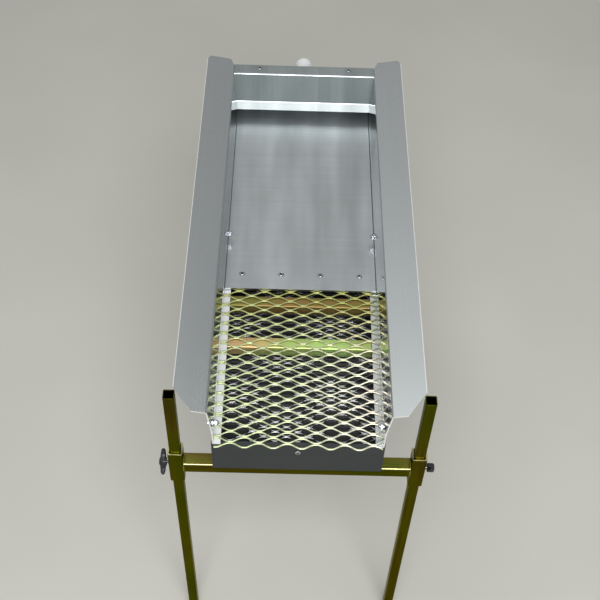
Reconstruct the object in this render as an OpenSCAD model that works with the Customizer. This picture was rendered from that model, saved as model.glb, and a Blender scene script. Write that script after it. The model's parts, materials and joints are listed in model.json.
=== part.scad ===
// Sheet-metal wash trough on an adjustable stand. A flared hopper with side wings sits in a
// straight lower box. Water comes in under a hood at the back, runs down the slick plate and
// falls through a steel mesh into the box, which is closed in front and open at the back.
// Millimetres. The origin is on the ground, at the middle of the footprint's length and width.
// +Z is up and -Y is the front, where the mesh is.

/* [Hopper] */
// Length of the hopper walls, from their front edge to the back wall
hopper_l = 758; // [640:2:920]
// Clear width between the wings, at the rim
rim_w = 254; // [250:1:310]
// Clear width between the walls, at the deck
deck_w = 242; // [200:1:246]
// Height of the rim above the deck ledges
hopper_depth = 78; // [60:1:100]
// Height of the upright band at the foot of each wall
band_h = 30; // [26:1:40]
// Width of the ledge at the foot of each wall
ledge_w = 10; // [8:1:14]
// Thickness of the aluminium sheet
sheet_t = 2; // [1.5:0.1:2.5]
// Bend radius on the face side of the sheet
bend_r = 3.2; // [2.8:0.1:5]
// Bend radius at the inner edge of the ledges
ledge_bend_r = 0.6; // [0.4:0.1:1.5]

/* [Wings] */
// Width of each wing, along its slope
wing_w = 50; // [40:1:62]
// Upward tilt of the wings
wing_tilt = 10; // [0:1:15]
// Front corner cut, across the wing
front_cut_w = 27; // [20:1:34]
// Front corner cut, along the wing
front_cut_l = 36; // [30:1:44]
// Length of wing behind the back wall
tail_l = 14; // [10:1:20]
// Rear outer corner cut, across the wing
rear_cut_w = 6; // [3:1:9]
// Rear outer corner cut, along the wing
rear_cut_l = 9; // [5:1:13]
// Rear inner corner cut, across the wing
inner_cut_w = 5; // [3:1:8]

/* [Water hood] */
// Depth of the hood's flat top
hood_top_l = 25; // [24:1:36]
// Forward run of the hood's steep face
hood_face_run = 22; // [14:1:28]
// Drop of the hood's steep face
hood_face_drop = 46.5; // [36:0.5:50]
// Forward run of the hood's lip
lip_run = 14; // [12:1:24]
// Drop of the hood's lip
lip_drop = 6.5; // [4:0.5:10]
// Depth of the back wall's top flange
back_flange_l = 22; // [18:1:22]
// Distance between the two hood rivets
hood_rivet_span = 162; // [120:2:190]
// Distance from the back wall's face to the hood rivets
hood_rivet_in = 9; // [7:1:12]

/* [Deck] */
// Distance from the hopper's front edge to the slick plate
slick_front = 285; // [240:5:330]
// Gap between the deck pieces and each wall
deck_gap = 0.7; // [0.7:0.1:1.5]
// Distance between neighbouring deck rivets
deck_rivet_pitch = 63; // [50:1:66]
// Distance from the slick plate's front edge to its rivets
deck_rivet_in = 31; // [26:1:36]
// Number of deck rivets
deck_rivets = 4; // [2:1:4]

/* [Mesh] */
// Reach of the mesh in front of the hopper walls
mesh_reach = 8; // [4:1:14]
// Length of mesh tucked under the slick plate
mesh_tuck = 16; // [10:1:18]
// Long pitch of the diamonds, across the deck
diamond_w = 41; // [34:0.5:50]
// Short pitch of the diamonds, along the deck
diamond_l = 18.6; // [15:0.1:22]
// Sideways shift of the diamonds from the middle of the deck
diamond_shift = 5; // [-20:0.5:20]
// Width of a strand
strand_w = 2.6; // [2:0.1:3.2]
// Length of the joint between neighbouring strands
bond_l = 5; // [3:0.5:8]
// Thickness of the mesh
mesh_t = 3.5; // [3:0.1:4]
// Side of the square stiffener tubes under the mesh
bar_side = 20; // [16:1:24]
// Wall of the stiffener tubes
bar_wall = 1.5; // [1:0.1:2]
// Distance from the hopper's front edge to the first stiffener
bar_a_y = 172; // [150:1:190]
// Distance from the hopper's front edge to the second stiffener
bar_b_y = 254; // [230:1:258]

/* [Lower box] */
// Height from the box's underside to the deck ledges
box_h = 75; // [65:1:90]
// Length of the box's floor and sides
box_l = 738; // [640:2:900]
// Set-back of the front plate behind the hopper walls' front edge
box_set_back = 6; // [4:1:8]
// Height and length of the cut at the front corners of the box's sides
side_cut = 14; // [8:1:16]
// Depth of the front plate's side flanges
plate_flange = 22; // [18:1:28]
// Distance from the ends of the front plate's side flanges to their rivets
plate_rivet_in = 17; // [14:1:20]
// Distance from the deck ledges down to the rivet in the middle of the front plate
plate_rivet_drop = 27; // [20:1:36]
// Thickness of the rubber mat, without its ribs
mat_t = 4; // [3.5:0.5:6]
// Height of the mat's ribs
rib_h = 1.5; // [1:0.1:2]
// Pitch of the mat's ribs
rib_pitch = 9; // [7:0.5:12]
// Width of a rib at its foot
rib_foot_w = 5.4; // [4:0.2:6.6]
// Width of a rib at its top
rib_top_w = 1.8; // [1:0.2:3]
// Gap all round the mat
mat_gap = 1; // [0.5:0.1:2]
// Length of the riffle mesh on the mat
riffle_l = 430; // [340:5:460]
// Long pitch of the riffle mesh's diamonds
riffle_w_pitch = 34; // [28:0.5:40]
// Short pitch of the riffle mesh's diamonds
riffle_l_pitch = 17; // [14:0.5:20]
// Width of the riffle mesh's strands
riffle_strand = 2.4; // [2:0.1:3]
// Thickness of the riffle mesh
riffle_t = 3; // [2.5:0.1:4]

/* [Fasteners] */
// Diameter of the side bolts and stand bolts
bolt_d = 5; // [4:0.5:5]
// Width across the flats of the bolt heads and nuts
hex_w = 8; // [8:0.5:9]
// Height of a bolt head
head_h = 3.5; // [3:0.1:4]
// Height of a nut
nut_h = 5; // [4:0.1:5.5]
// Length of bolt that shows past a nut
bolt_tail = 2; // [1:0.5:3]
// Diameter of a washer
washer_d = 11; // [10:0.5:12]
// Thickness of a washer
washer_t = 1; // [0.8:0.1:1.2]
// Play between a bolt and its hole, on the radius
bolt_play = 0.25; // [0.15:0.05:0.4]
// Height of the side bolts above the deck ledges
bolt_z = 21; // [18:1:21]
// Distance from the hopper's front edge to the first side bolts
bolt_front_y = 21; // [19:1:26]
// Distance from the hopper's front edge to the middle side bolts
bolt_mid_y = 390; // [350:5:420]
// Distance from the back wall to the last side bolts
bolt_back_in = 30; // [26:1:34]
// Diameter of a rivet's head
rivet_head_d = 9; // [8:0.5:10]
// Height of a rivet's head
rivet_head_h = 1.3; // [1:0.1:1.8]
// Height of the straight rim of a rivet's head
rivet_rim_h = 0.7; // [0.4:0.1:0.9]
// Diameter of the flat crown of a rivet's head
rivet_crown_d = 6.2; // [5:0.1:7]
// Diameter of a rivet's shank
rivet_d = 4; // [3.2:0.1:4.4]
// Diameter of the mandrel hole in a rivet's head
mandrel_d = 2.2; // [1.8:0.1:2.6]
// Height of the mandrel hole's floor above the sheet
mandrel_floor = 0.4; // [0.2:0.1:0.6]
// Diameter of a set rivet's tail
rivet_tail_d = 6; // [5:0.1:6.4]
// Length of a set rivet's tail
rivet_tail_l = 2; // [1.5:0.1:3]

/* [Water inlet] */
// Outer diameter of the hose spigot
spigot_d = 32; // [26:1:36]
// Bore of the hose spigot
spigot_bore = 26; // [20:1:28]
// Length of the spigot behind its flange
spigot_l = 47; // [38:1:60]
// Diameter of the inlet's flange
inlet_flange_d = 50; // [46:1:54]
// Thickness of the inlet's flange
inlet_flange_t = 4; // [3:0.5:6]
// Diameter of the inlet's threaded neck
neck_d = 36; // [34:1:38]
// Play between the neck and its hole or nut, on the radius
neck_play = 0.3; // [0.2:0.05:0.5]
// Thickness of the inlet's gasket
gasket_t = 2; // [1.5:0.5:3]
// Thickness of the inlet's nut
inlet_nut_t = 8; // [6:0.5:10]
// Length of neck that shows past the inlet's nut
neck_tail = 3; // [1:0.5:6]
// Chamfer round the end of the spigot
spigot_chamfer = 1.5; // [0.5:0.1:2]
// Distance from the edge of the inlet's flange to the gasket's edge
gasket_in = 1; // [0.5:0.1:2]
// Depth of the inlet's axis below the rim
inlet_drop = 37; // [34:1:40]

/* [Stand] */
// Height of the box's underside above the ground
stand_h = 532; // [420:2:640]
// Distance between the centres of the left and right legs
leg_span = 360; // [358:1:440]
// Side of the square leg tubes
leg_side = 16; // [14:0.5:18]
// Wall of the leg tubes
leg_wall = 1.5; // [1.2:0.1:2]
// Wall of the clamp sleeves
sleeve_wall = 2.5; // [2:0.1:3]
// Gap between a leg and its sleeve, on each side
leg_play = 0.5; // [0.35:0.05:0.8]
// Length of the clamp sleeves
sleeve_l = 75; // [60:1:90]
// Height of the sleeves' tops above the box's underside
sleeve_up = 27; // [22:1:34]
// Length of front leg above its sleeve
front_leg_up = 141; // [60:1:150]
// Length of rear leg above its sleeve
rear_leg_up = 45; // [30:1:60]
// Side of the square crossbars
crossbar_side = 22; // [20:0.5:24]
// Wall of the crossbars
crossbar_wall = 2; // [1.5:0.1:2.5]
// Distance from the front plate's face to the front crossbar's face
crossbar_in = 4; // [3:0.5:6]
// Distance from the hopper's front edge to the rear crossbar's middle
rear_stand_y = 690; // [560:5:720]
// Distance between the two bolts that hold each crossbar
stand_bolt_span = 170; // [120:5:200]

/* [Clamp knobs] */
// Diameter of the clamp screw
screw_d = 6; // [5:1:8]
// Running play of the clamp screw in its thread, on the radius
screw_play = 0.05; // [0.03:0.01:0.08]
// Gap between the screw's tip and the leg
tip_gap = 0.3; // [0.3:0.05:0.6]
// Length of screw that shows between sleeve and knob
screw_show = 4; // [2:0.5:8]
// Length of the knob from wing tip to wing tip
knob_l = 40; // [34:1:48]
// Depth of the knob's hub
knob_hub_l = 11; // [9:0.5:14]
// Diameter of the knob's hub
knob_hub_d = 14; // [12:0.5:16]
// Depth of the knob's wings
knob_wing_l = 8; // [6:0.5:9]
// Width of the knob's wings at their tips
knob_tip_d = 9; // [7:0.5:11]
// Width of the knob's wings beside the hub
knob_web = 6; // [5:0.5:8]
// Set-back of the knob's wings behind the hub's inner face
knob_wing_in = 1; // [0.5:0.1:1.5]
// Distance by which the wing tips stand proud of the wings
knob_tip_proud = 0.5; // [0:0.1:0.5]
// Depth of plastic between the screw's end and the hub's outer face
knob_crown = 3; // [2:0.5:4]
// Turn of the front left knob about its screw
left_knob_turn = -40; // [-90:5:90]
// Turn of the front right knob about its screw
right_knob_turn = 50; // [-90:5:90]
// Lean of the rear knobs' wings, away from upright
rear_knob_lean = 12; // [-15:1:15]

/* [Hidden] */
$fn = 48;
// Facets in each bend of the sheet
bend_steps = 5;
// How far the cutting shapes overrun what they cut
cut = 1;

// The sub-parts share a working frame. Y is measured from the hopper's front edge, and Z
// from the top of the deck ledges.
inlet_reach = gasket_t + inlet_flange_t + spigot_l;
front_y = -(hopper_l + inlet_reach - mesh_reach) / 2;
ledge_z = stand_h + box_h;
ground_z = -ledge_z;
underside_z = -box_h;

rim_x = rim_w / 2;
wall_x = deck_w / 2;
wing_run = wing_w * cos(wing_tilt);
wing_tip_x = rim_x + wing_run;
tail_y = hopper_l + tail_l;
box_in_x = wall_x + sheet_t;
box_x = box_in_x + sheet_t;
deck_x = wall_x - deck_gap;
ledge_x = wall_x - ledge_w;
slick_z = mesh_t;
box_front_y = box_set_back;
box_back_y = box_set_back + box_l;
back_face_y = hopper_l - sheet_t;
inlet_z = hopper_depth - inlet_drop;
leg_x = leg_span / 2;
sleeve_side = leg_side + 2 * (leg_play + sleeve_wall);
sleeve_top_z = underside_z + sleeve_up;
front_stand_y = box_front_y - sheet_t + crossbar_in + crossbar_side / 2;
clamp_z = sleeve_top_z - sleeve_l / 2;
stand_ys = [front_stand_y, rear_stand_y];
side_bolt_ys = [bolt_front_y, bolt_mid_y, hopper_l - bolt_back_in];
tray_floor_z = underside_z + sheet_t;
mat_top_z = tray_floor_z + mat_t + rib_h;
plate_flange_top = -2 * sheet_t;
neck_l = sheet_t + inlet_nut_t + neck_tail;
aluminium = [0.74, 0.76, 0.78];
chromate = [0.62, 0.60, 0.25];
steel = [0.7, 0.7, 0.72];
black = [0.09, 0.09, 0.1];

module place() translate([0, front_y, ledge_z]) children();
module mirror_pair() for (s = [0, 1]) mirror([s, 0, 0]) children();

// A profile drawn in X and Z, run along Y
module along_y(from, to)
    translate([0, to, 0]) rotate([90, 0, 0]) linear_extrude(to - from) children();

// A profile drawn in Y and Z, run along X
module along_x(from, to)
    translate([from, 0, 0]) rotate([90, 0, 90]) linear_extrude(to - from) children();

// Bent sheet: a face path with rounded corners, thickened to its right
function unit(v) = v / norm(v);
function right_of(v) = [v.y, -v.x];
function turned(v, a) = [v.x * cos(a) - v.y * sin(a), v.x * sin(a) + v.y * cos(a)];
function corner_arc(a, p, b, r) =
    let (
        u = unit(a - p),
        v = unit(b - p),
        half = acos(u * v) / 2,
        middle = p + unit(u + v) * r / sin(half),
        first = p + u * r / tan(half) - middle,
        way = cross(u, v) > 0 ? -1 : 1
    )
    [for (i = [0:bend_steps]) middle + turned(first, way * (180 - 2 * half) * i / bend_steps)];
function rounded(path, radii) = concat(
    [path[0]],
    [for (i = [1:len(path) - 2]) each corner_arc(path[i - 1], path[i], path[i + 1], radii[i - 1])],
    [path[len(path) - 1]]
);
function far_point(path, i, t) =
    let (
        last = len(path) - 1,
        a = unit(i > 0 ? path[i] - path[i - 1] : path[1] - path[0]),
        b = unit(i < last ? path[i + 1] - path[i] : path[last] - path[last - 1]),
        n = unit(right_of(a) + right_of(b))
    )
    path[i] + n * t / (n * right_of(a));
module bent_sheet(path, radii) {
    face = rounded(path, radii);
    far = [for (i = [len(face) - 1:-1:0]) far_point(face, i, sheet_t)];
    polygon(concat(face, far));
}

// Expanded metal: wavy strips that join at their crests. It lies with its underside at 0.
function wave(x, k, half_w, bond) =
    let (
        j = floor(x / half_w),
        s = min(1, max(0, (x - j * half_w - bond / 2) / (half_w - bond)))
    )
    abs(j + k) % 2 == 0 ? s : 1 - s;
module expanded_metal(reach, length, pitch_w, pitch_l, strand, bond, t, shift = 0) {
    half_w = pitch_w / 2;
    rows = floor(2 * length / pitch_l);
    row_l = length / rows;
    crests = ceil((reach + abs(shift)) / half_w) + 1;
    overlap = 0.1;
    edge = 0.4;
    inner = [
        for (j = [-crests:crests]) for (s = [-1, 1])
            let (x = j * half_w + s * bond / 2 + shift) if (abs(x) < reach - edge) x
    ];
    xs = concat([-reach], inner, [reach]);
    linear_extrude(t) for (k = [0:rows - 1]) {
        low = k * row_l + strand / 2 - (k > 0 ? overlap : 0);
        high = (k + 1) * row_l - strand / 2 + (k < rows - 1 ? overlap : 0);
        ys = [for (x = xs) low + (high - low) * wave(x - shift, k, half_w, bond)];
        polygon(concat(
            [for (i = [0:len(xs) - 1]) [xs[i], ys[i] - strand / 2]],
            [for (i = [len(xs) - 1:-1:0]) [xs[i], ys[i] + strand / 2]]
        ));
    }
}

module square_tube(side, wall, length) linear_extrude(length) difference() {
    square(side, center = true);
    square(side - 2 * wall, center = true);
}

// The space between the hopper walls, as a profile
module inner_profile() polygon([
    [-wall_x, 0], [wall_x, 0], [wall_x, band_h], [rim_x, hopper_depth],
    [-rim_x, hopper_depth], [-wall_x, band_h]
]);

module side_bolt_places() for (y = side_bolt_ys) translate([0, y, bolt_z]) children();
module bolt_hole_x(from, to, r)
    translate([from, 0, 0]) rotate([0, 90, 0]) cylinder(h = to - from, r = r);

// Hexagonal prism along X
module hex_x(from, to) translate([from, 0, 0]) rotate([0, 90, 0])
    cylinder(h = to - from, d = hex_w / cos(30), $fn = 6);

// Blind rivet: the head's underside at 0, the shank down the -Z axis
module rivet(grip) {
    difference() {
        union() {
            cylinder(h = rivet_rim_h, d = rivet_head_d);
            translate([0, 0, rivet_rim_h])
                cylinder(h = rivet_head_h - rivet_rim_h, d1 = rivet_head_d, d2 = rivet_crown_d);
        }
        translate([0, 0, mandrel_floor]) cylinder(h = rivet_head_h, d = mandrel_d);
    }
    translate([0, 0, -grip]) cylinder(h = grip, d = rivet_d);
    translate([0, 0, -grip - rivet_tail_l]) cylinder(h = rivet_tail_l, d = rivet_tail_d);
}
module rivet_hole(grip) translate([0, 0, -grip]) cylinder(h = 2 * grip, d = rivet_d);

module hopper_side() difference() {
    along_y(0, tail_y) bent_sheet(
        [
            [ledge_x, 0], [wall_x, 0], [wall_x, band_h], [rim_x, hopper_depth],
            [wing_tip_x, hopper_depth + wing_w * sin(wing_tilt)]
        ],
        [ledge_bend_r, bend_r, bend_r]
    );
    translate([0, 0, -hopper_depth]) linear_extrude(3 * hopper_depth) {
        polygon([
            [wing_tip_x - front_cut_w, 0], [wing_tip_x, front_cut_l],
            [wing_tip_x + sheet_t, front_cut_l], [wing_tip_x + sheet_t, -sheet_t],
            [wing_tip_x - front_cut_w, -sheet_t]
        ]);
        polygon([
            [wing_tip_x, tail_y - rear_cut_l], [wing_tip_x - rear_cut_w, tail_y],
            [wing_tip_x - rear_cut_w, tail_y + sheet_t], [wing_tip_x + sheet_t, tail_y + sheet_t],
            [wing_tip_x + sheet_t, tail_y - rear_cut_l]
        ]);
        polygon([
            [0, hopper_l], [rim_x + sheet_t, hopper_l], [rim_x + sheet_t + inner_cut_w, tail_y],
            [rim_x, tail_y + sheet_t], [0, tail_y + sheet_t]
        ]);
    }
    side_bolt_places() bolt_hole_x(ledge_x, box_x, bolt_d / 2 + bolt_play);
}

module hopper_left_side() color(aluminium) place() mirror([1, 0, 0]) hopper_side();
module hopper_right_side() color(aluminium) place() hopper_side();

module hood_rivet_places()
    for (s = [-1, 1]) translate([s * hood_rivet_span / 2, hopper_l - hood_rivet_in, hopper_depth])
        children();

module back_wall() color(aluminium) place() difference() {
    intersection() {
        along_x(-rim_x, rim_x) bent_sheet(
            [
                [hopper_l - back_flange_l, hopper_depth - sheet_t],
                [hopper_l, hopper_depth - sheet_t], [hopper_l, 0]
            ],
            [bend_r]
        );
        along_y(0, hopper_l) inner_profile();
    }
    translate([0, hopper_l - 2 * sheet_t, inlet_z]) rotate([-90, 0, 0])
        cylinder(h = 4 * sheet_t, r = neck_d / 2 + neck_play);
    hood_rivet_places() rivet_hole(2 * sheet_t);
}

module water_hood() color(aluminium) place() difference() {
    face_y = hopper_l - hood_top_l;
    intersection() {
        along_x(-rim_x, rim_x) mirror([1, 0]) bent_sheet(
            [
                [-hopper_l, hopper_depth], [-face_y, hopper_depth],
                [-face_y + hood_face_run, hopper_depth - hood_face_drop],
                [-face_y + hood_face_run + lip_run, hopper_depth - hood_face_drop - lip_drop]
            ],
            [bend_r, bend_r]
        );
        along_y(0, hopper_l) inner_profile();
    }
    hood_rivet_places() rivet_hole(2 * sheet_t);
}

module hood_rivets() color(steel) place() hood_rivet_places() rivet(2 * sheet_t);

module deck_rivet_places()
    for (i = [0:deck_rivets - 1])
        translate([(i - (deck_rivets - 1) / 2) * deck_rivet_pitch, slick_front + deck_rivet_in,
                   slick_z + sheet_t]) children();

// The slick plate's side edges fold down onto the ledges, behind the tucked mesh
module slick_plate() color(aluminium) place() difference() {
    fold_y = slick_front + mesh_tuck + sheet_t;
    union() {
        translate([-deck_x, slick_front, slick_z])
            cube([2 * deck_x, back_face_y - slick_front, sheet_t]);
        for (x = [-deck_x, deck_x - sheet_t])
            translate([x, fold_y, 0]) cube([sheet_t, back_face_y - fold_y, slick_z]);
    }
    deck_rivet_places() rivet_hole(2 * sheet_t);
}

// A stepped strip under the slick plate's front edge, which carries the end of the mesh
module deck_brace() color(aluminium) place() difference() {
    from_y = slick_front + sheet_t;
    step_y = slick_front + mesh_tuck + sheet_t;
    to_y = slick_front + 2 * deck_rivet_in - mesh_tuck;
    along_x(-ledge_x + deck_gap, ledge_x - deck_gap) polygon([
        [from_y, -sheet_t], [step_y + sheet_t, -sheet_t], [step_y + sheet_t, slick_z - sheet_t],
        [to_y, slick_z - sheet_t], [to_y, slick_z], [step_y, slick_z], [step_y, 0], [from_y, 0]
    ]);
    deck_rivet_places() rivet_hole(2 * sheet_t);
}

module deck_rivets_row() color(steel) place() deck_rivet_places() rivet(2 * sheet_t);

module grizzly_mesh() color(chromate) place() translate([0, -mesh_reach, 0])
    expanded_metal(deck_x, mesh_reach + slick_front + mesh_tuck,
                   diamond_w, diamond_l, strand_w, bond_l, mesh_t, diamond_shift);

module mesh_bar(y) translate([-ledge_x + deck_gap, y + bar_side / 2, -bar_side / 2])
    rotate([0, 90, 0]) square_tube(bar_side, bar_wall, 2 * (ledge_x - deck_gap));
module mesh_bar_front() color(chromate) place() mesh_bar(bar_a_y);
module mesh_bar_rear() color(chromate) place() mesh_bar(bar_b_y);

module stand_bolt_places()
    for (y = stand_ys) for (s = [-1, 1]) translate([s * stand_bolt_span / 2, y, 0]) children();
module stand_bolt_hole(from, to) translate([0, 0, from])
    cylinder(h = to - from, r = bolt_d / 2 + bolt_play);

module box_tray() color(aluminium) place() difference() {
    along_y(box_front_y, box_back_y) difference() {
        translate([-box_x, underside_z]) square([2 * box_x, band_h - underside_z]);
        translate([-box_in_x, tray_floor_z]) square([2 * box_in_x, band_h - underside_z]);
    }
    along_x(-box_x, box_x) polygon([
        [box_front_y, band_h - side_cut], [box_front_y + side_cut, band_h], [box_front_y, band_h]
    ]);
    side_bolt_places() bolt_hole_x(-box_x, box_x, bolt_d / 2 + bolt_play);
    stand_bolt_places() stand_bolt_hole(underside_z, tray_floor_z);
    front_plate_side_rivets() rivet_hole(2 * sheet_t);
}

module front_plate_side_rivets()
    mirror_pair() for (z = [plate_flange_top - plate_rivet_in, tray_floor_z + plate_rivet_in])
        translate([box_x, box_front_y + plate_flange / 2, z]) rotate([0, 90, 0]) children();
module front_plate_centre_rivet()
    translate([0, box_front_y - sheet_t, -plate_rivet_drop]) rotate([90, 0, 0]) children();

// The front plate covers the tray's front, and its side flanges lie inside the tray's sides
module front_plate() color(aluminium) place() difference() {
    union() {
        translate([-box_x, box_front_y - sheet_t, underside_z])
            cube([2 * box_x, sheet_t, -sheet_t - underside_z]);
        mirror_pair() translate([box_in_x - sheet_t, box_front_y, tray_floor_z])
            cube([sheet_t, plate_flange, plate_flange_top - tray_floor_z]);
    }
    front_plate_side_rivets() rivet_hole(2 * sheet_t);
    front_plate_centre_rivet() rivet_hole(2 * sheet_t);
}

module front_plate_rivets() color(steel) place() {
    front_plate_side_rivets() rivet(2 * sheet_t);
    front_plate_centre_rivet() rivet(sheet_t);
}

module rubber_mat() color(black) place() difference() {
    from_y = box_front_y + plate_flange + mat_gap;
    to_y = box_back_y - mat_gap;
    ribs = floor((to_y - from_y) / rib_pitch);
    along_x(mat_gap - box_in_x, box_in_x - mat_gap) polygon(concat(
        [
            [to_y, mat_top_z - rib_h], [to_y, tray_floor_z],
            [from_y, tray_floor_z], [from_y, mat_top_z - rib_h]
        ],
        [for (i = [0:ribs - 1]) let (mid_y = from_y + (i + 1 / 2) * rib_pitch) each [
            [mid_y - rib_foot_w / 2, mat_top_z - rib_h],
            [mid_y - rib_top_w / 2, mat_top_z],
            [mid_y + rib_top_w / 2, mat_top_z],
            [mid_y + rib_foot_w / 2, mat_top_z - rib_h]
        ]]
    ));
    stand_bolt_places() translate([0, 0, tray_floor_z - cut])
        cylinder(h = mat_t + rib_h + 2 * cut, d = washer_d + 2 * mat_gap);
}

module riffle_mesh() color(steel) place()
    translate([0, box_front_y + plate_flange + mat_gap, mat_top_z])
        expanded_metal(box_in_x - 2 * mat_gap, riffle_l, riffle_w_pitch, riffle_l_pitch,
                       riffle_strand, bond_l, riffle_t);

// Side bolts: head outside the box, nut inside the hopper
module side_bolts() color(steel) place() mirror_pair() side_bolt_places() {
    hex_x(box_x + washer_t, box_x + washer_t + head_h);
    bolt_hole_x(wall_x - washer_t - nut_h - bolt_tail, box_x + washer_t, bolt_d / 2);
}

module washer_x(from) translate([from, 0, 0]) rotate([0, 90, 0]) difference() {
    cylinder(h = washer_t, d = washer_d);
    translate([0, 0, -cut]) cylinder(h = washer_t + 2 * cut, r = bolt_d / 2);
}
module side_washers() color(steel) place() mirror_pair() side_bolt_places() {
    washer_x(box_x);
    washer_x(wall_x - washer_t);
}
module side_nuts() color(steel) place() mirror_pair() side_bolt_places() difference() {
    hex_x(wall_x - washer_t - nut_h, wall_x - washer_t);
    bolt_hole_x(ledge_x, wall_x, bolt_d / 2);
}

// Water inlet: flange and hose spigot outside the back wall, threaded neck through it
module on_inlet_axis(y) translate([0, y, inlet_z]) rotate([-90, 0, 0]) children();
module water_inlet() color("white") place() on_inlet_axis(hopper_l + gasket_t) difference() {
    union() {
        cylinder(h = inlet_flange_t, d = inlet_flange_d);
        translate([0, 0, -gasket_t - neck_l]) cylinder(h = gasket_t + neck_l, d = neck_d);
        cylinder(h = inlet_flange_t + spigot_l - spigot_chamfer, d = spigot_d);
        translate([0, 0, inlet_flange_t + spigot_l - spigot_chamfer])
            cylinder(h = spigot_chamfer, d1 = spigot_d, d2 = spigot_d - 2 * spigot_chamfer);
    }
    translate([0, 0, -gasket_t - neck_l - cut])
        cylinder(h = neck_l + gasket_t + inlet_flange_t + spigot_l + 2 * cut, d = spigot_bore);
}

module inlet_gasket() color(black) place() on_inlet_axis(hopper_l) difference() {
    cylinder(h = gasket_t, d = inlet_flange_d - 2 * gasket_in);
    translate([0, 0, -cut]) cylinder(h = gasket_t + 2 * cut, r = neck_d / 2 + neck_play);
}

module inlet_nut() color("white") place() on_inlet_axis(back_face_y - inlet_nut_t) difference() {
    cylinder(h = inlet_nut_t, d = inlet_flange_d, $fn = 6);
    translate([0, 0, -cut]) cylinder(h = inlet_nut_t + 2 * cut, r = neck_d / 2);
}

// Stand
module crossbar(y) difference() {
    reach = leg_x - sleeve_side / 2;
    translate([-reach, y, underside_z - crossbar_side / 2]) rotate([0, 90, 0])
        square_tube(crossbar_side, crossbar_wall, 2 * reach);
    stand_bolt_places() stand_bolt_hole(underside_z - crossbar_side, underside_z);
}
module front_crossbar() color(chromate) place() crossbar(front_stand_y);
module rear_crossbar() color(chromate) place() crossbar(rear_stand_y);

module stand_bolts() color(steel) place() stand_bolt_places() {
    translate([0, 0, tray_floor_z]) cylinder(h = head_h, d1 = washer_d, d2 = hex_w);
    translate([0, 0, underside_z - crossbar_side - nut_h - bolt_tail])
        cylinder(h = crossbar_side + nut_h + bolt_tail + sheet_t, d = bolt_d);
}
module stand_nuts() color(steel) place() stand_bolt_places()
    translate([0, 0, underside_z - crossbar_side - nut_h]) difference() {
        cylinder(h = nut_h, d = hex_w / cos(30), $fn = 6);
        translate([0, 0, -cut]) cylinder(h = nut_h + 2 * cut, d = bolt_d);
    }

// Each corner of the stand has a sleeve, a leg and a clamp knob. side is -1 on the left. The
// front clamps face outward and the rear clamps face backward.
function outward(side) = [0, 90 * side, 0];
backward = [-90, 0, 0];
module clamp_place(side, y, facing)
    translate([side * leg_x, y, clamp_z]) rotate(facing) children();
module sleeve(side, y, facing) difference() {
    translate([side * leg_x, y, sleeve_top_z - sleeve_l])
        square_tube(sleeve_side, sleeve_wall, sleeve_l);
    clamp_place(side, y, facing) translate([0, 0, leg_side / 2])
        cylinder(h = sleeve_side, r = screw_d / 2 + screw_play);
}
module leg(side, y, up) translate([side * leg_x, y, ground_z])
    square_tube(leg_side, leg_wall, sleeve_top_z + up - ground_z);
module clamp_screw(side, y, facing) clamp_place(side, y, facing) {
    tip = leg_side / 2 + tip_gap;
    translate([0, 0, tip])
        cylinder(h = sleeve_side / 2 + screw_show + knob_hub_l - knob_crown - tip, d = screw_d);
}
module clamp_knob(side, y, facing, turn) clamp_place(side, y, facing) rotate([0, 0, turn])
    translate([0, 0, sleeve_side / 2 + screw_show]) difference() {
        wing_x = (knob_l - knob_tip_d) / 2;
        union() {
            cylinder(h = knob_hub_l, d = knob_hub_d);
            translate([-wing_x, -knob_web / 2, knob_wing_in]) cube([2 * wing_x, knob_web, knob_wing_l]);
            for (x = [-wing_x, wing_x]) translate([x, 0, knob_wing_in - knob_tip_proud])
                cylinder(h = knob_wing_l + 2 * knob_tip_proud, d = knob_tip_d);
        }
        translate([0, 0, -cut]) cylinder(h = knob_hub_l - knob_crown + cut, d = screw_d);
    }

module front_left_sleeve() color(chromate) place() sleeve(-1, front_stand_y, outward(-1));
module front_right_sleeve() color(chromate) place() sleeve(1, front_stand_y, outward(1));
module rear_left_sleeve() color(chromate) place() sleeve(-1, rear_stand_y, backward);
module rear_right_sleeve() color(chromate) place() sleeve(1, rear_stand_y, backward);
module front_left_leg() color(chromate) place() leg(-1, front_stand_y, front_leg_up);
module front_right_leg() color(chromate) place() leg(1, front_stand_y, front_leg_up);
module rear_left_leg() color(chromate) place() leg(-1, rear_stand_y, rear_leg_up);
module rear_right_leg() color(chromate) place() leg(1, rear_stand_y, rear_leg_up);
module front_left_screw() color(steel) place() clamp_screw(-1, front_stand_y, outward(-1));
module front_right_screw() color(steel) place() clamp_screw(1, front_stand_y, outward(1));
module rear_left_screw() color(steel) place() clamp_screw(-1, rear_stand_y, backward);
module rear_right_screw() color(steel) place() clamp_screw(1, rear_stand_y, backward);
module front_left_knob() color(black) place()
    clamp_knob(-1, front_stand_y, outward(-1), 90 + left_knob_turn);
module front_right_knob() color(black) place()
    clamp_knob(1, front_stand_y, outward(1), 90 - right_knob_turn);
module rear_left_knob() color(black) place()
    clamp_knob(-1, rear_stand_y, backward, 90 - rear_knob_lean);
module rear_right_knob() color(black) place()
    clamp_knob(1, rear_stand_y, backward, 90 + rear_knob_lean);

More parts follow.
